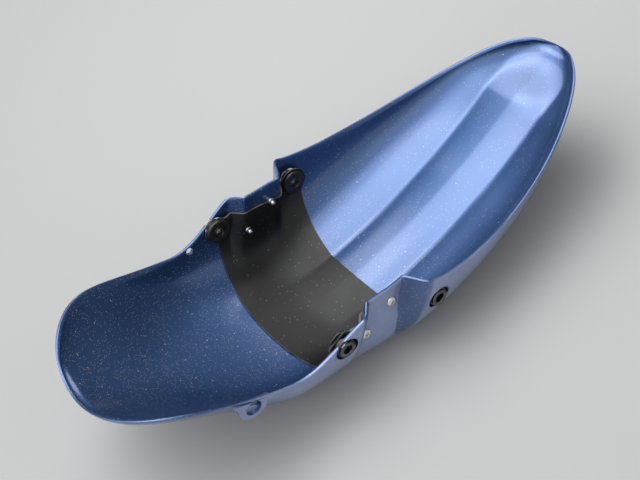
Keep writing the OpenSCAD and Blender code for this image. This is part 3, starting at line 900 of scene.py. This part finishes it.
def rivet(name, t, s, material, pin_material):
    """A pull rivet, and the pin that stays in it."""
    head_z = SKIN_WALL + RIVET_GAP
    low = -BRACE_GAP - BRACE_SHEET - RIVET_GAP
    shank, hole = RIVET_SHANK / 2, PIN_D / 2 + FIT_GAP
    head, bulb = RIVET_HEAD / 2, RIVET_BULB / 2
    tail_z = low - RIVET_BULB_T - RIVET_TAIL
    profile = [(hole, tail_z), (shank, tail_z), (shank, low - RIVET_BULB_T),
               (bulb, low - RIVET_BULB_T), (bulb, low), (shank, low),
               (shank, head_z), (head, head_z),
               (head * 0.9, head_z + RIVET_HEAD_T * 0.55), (head * 0.55, head_z + RIVET_HEAD_T),
               (hole, head_z + RIVET_HEAD_T)]
    corners = {1: 0.25, 3: 0.6, 4: 0.3, 7: 0.2, 8: 0.5, 9: 0.5, 10: 0.25}
    ring = turned_ring(rounded(profile, corners), 48)
    stand_at(ring, inside(t, s), outward(t, s))
    finish_piece(ring, f"pop_{name}", material, f"rivet_{name}")

    ball_z = tail_z - FIT_GAP - math.sqrt((PIN_BALL / 2) ** 2 - (PIN_D / 2) ** 2)
    top = head_z + RIVET_HEAD_T * 0.4
    bpy.ops.object.select_all(action="DESELECT")
    bpy.ops.mesh.primitive_uv_sphere_add(
        segments=32, ring_count=24, radius=PIN_BALL / 2, location=(0, 0, ball_z))
    ball = bpy.context.object
    settle(ball)
    bpy.ops.object.mode_set(mode="EDIT")
    bpy.ops.mesh.select_all(action="SELECT")
    bpy.ops.mesh.bisect(
        plane_co=(0, 0, tail_z - FIT_GAP), plane_no=(0, 0, 1), use_fill=True, clear_outer=True)
    bpy.ops.mesh.inset(thickness=PIN_BALL * 0.01)
    bpy.ops.transform.resize(value=(0.9, 0.9, 1), center_override=(0, 0, tail_z - FIT_GAP))
    rise = top - tail_z + FIT_GAP
    bpy.ops.mesh.extrude_region_move(TRANSFORM_OT_translate={"value": (0, 0, rise)})
    bpy.ops.object.mode_set(mode="OBJECT")
    stand_at(ball, inside(t, s), outward(t, s))
    finish_piece(ball, f"mandrel_{name}", pin_material, f"pin_{name}")


def floor():
    """A plain pale floor."""
    bpy.ops.object.select_all(action="DESELECT")
    bpy.ops.mesh.primitive_plane_add(size=12)
    plane = bpy.context.object
    plane.name = "floor"
    mat, _, _, _ = new_material("floor", Base_Color=(0.4, 0.4, 0.396, 1), Roughness=0.6)
    plane.data.materials.append(mat)


def lamp(name, at, look_at, size, power):
    """A soft rectangular lamp."""
    data = bpy.data.lights.new(name, "AREA")
    data.shape = "RECTANGLE"
    data.size, data.size_y = size
    data.energy = power
    obj = bpy.data.objects.new(name, data)
    bpy.context.collection.objects.link(obj)
    obj.location = at
    obj.rotation_euler = (Vector(look_at) - Vector(at)).to_track_quat("-Z", "Y").to_euler()


def glow(nodes, links, azimuth, elevation, spread_angle, strength):
    """A soft round patch of light in the room, towards one direction."""
    az, el = math.radians(azimuth), math.radians(elevation)
    place = nodes.new("ShaderNodeTexCoord")
    towards = nodes.new("ShaderNodeVectorMath")
    towards.operation = "DOT_PRODUCT"
    level = math.cos(el)
    towards.inputs[1].default_value = (level * math.cos(az), level * math.sin(az), math.sin(el))
    links.new(place.outputs["Generated"], towards.inputs[0])
    fall = nodes.new("ShaderNodeMapRange")
    fall.interpolation_type = "SMOOTHSTEP"
    for key, value in {"From Min": math.cos(math.radians(spread_angle)), "From Max": 1,
                       "To Min": 0, "To Max": strength}.items():
        fall.inputs[key].default_value = value
    links.new(towards.outputs["Value"], fall.inputs["Value"])
    return fall.outputs["Result"]


def lights():
    """Soft studio light: a lamp overhead, one by the tip, and broad glows in the room."""
    lamp("overhead", (-0.1, 0.55, 1.5), (0, 0, 0), (0.8, 0.6), 3.5)
    lamp("by_the_tip", (0.22, 0.42, 0.62), (0.17, 0, 0.04), (0.34, 0.34), 1.3)
    world = bpy.data.worlds.new("room")
    bpy.context.scene.world = world
    world.use_nodes = True
    nodes, links = world.node_tree.nodes, world.node_tree.links
    total = None
    for glow_at in ROOM_GLOWS:
        level = glow(nodes, links, *glow_at)
        if total is not None:
            add = nodes.new("ShaderNodeMath")
            links.new(total, add.inputs[0])
            links.new(level, add.inputs[1])
            level = add.outputs[0]
        total = level
    back = nodes["Background"]
    back.inputs["Color"].default_value = (0.97, 0.99, 1, 1)
    links.new(total, back.inputs["Strength"])


def camera():
    """The camera at the photograph's place."""
    data = bpy.data.cameras.new("camera")
    data.sensor_width = SENSOR_WIDTH
    data.lens = FOCAL_PIXELS / FRAME_WIDTH * SENSOR_WIDTH
    obj = bpy.data.objects.new("camera", data)
    bpy.context.collection.objects.link(obj)
    right, down, ahead = (turned_with_part(v) for v in (CAMERA_RIGHT, CAMERA_DOWN, CAMERA_AHEAD))
    turn = Matrix((right, -down, -ahead)).transposed()
    obj.matrix_world = Matrix.Translation(lying(CAMERA_AT)) @ turn.to_4x4()
    bpy.context.scene.camera = obj


camera()
paint = blue_paint()
skin(paint)
brace(black_paint(), worn_and_highlit_edge())
black_rubber = rubber()
collar_steel = metal("collar_steel", (0.07, 0.07, 0.072), (0.2, 0.2, 0.205), 0.24)
rivet_metal = metal("rivet_metal", (0.62, 0.62, 0.63), (0.86, 0.86, 0.87), 0.26)
pin_metal = metal("pin_metal", (0.45, 0.45, 0.46), (0.66, 0.66, 0.67), 0.3)
for name, sign, place, pad in mounts():
    grommet(name, sign, place, pad, black_rubber)
    collar(name, sign, place, pad, collar_steel)
for name, sign, t, s in rivet_places():
    rivet(name, t, s, rivet_metal, pin_metal)
floor()
lights()
bpy.context.scene.view_settings.view_transform = "Standard"
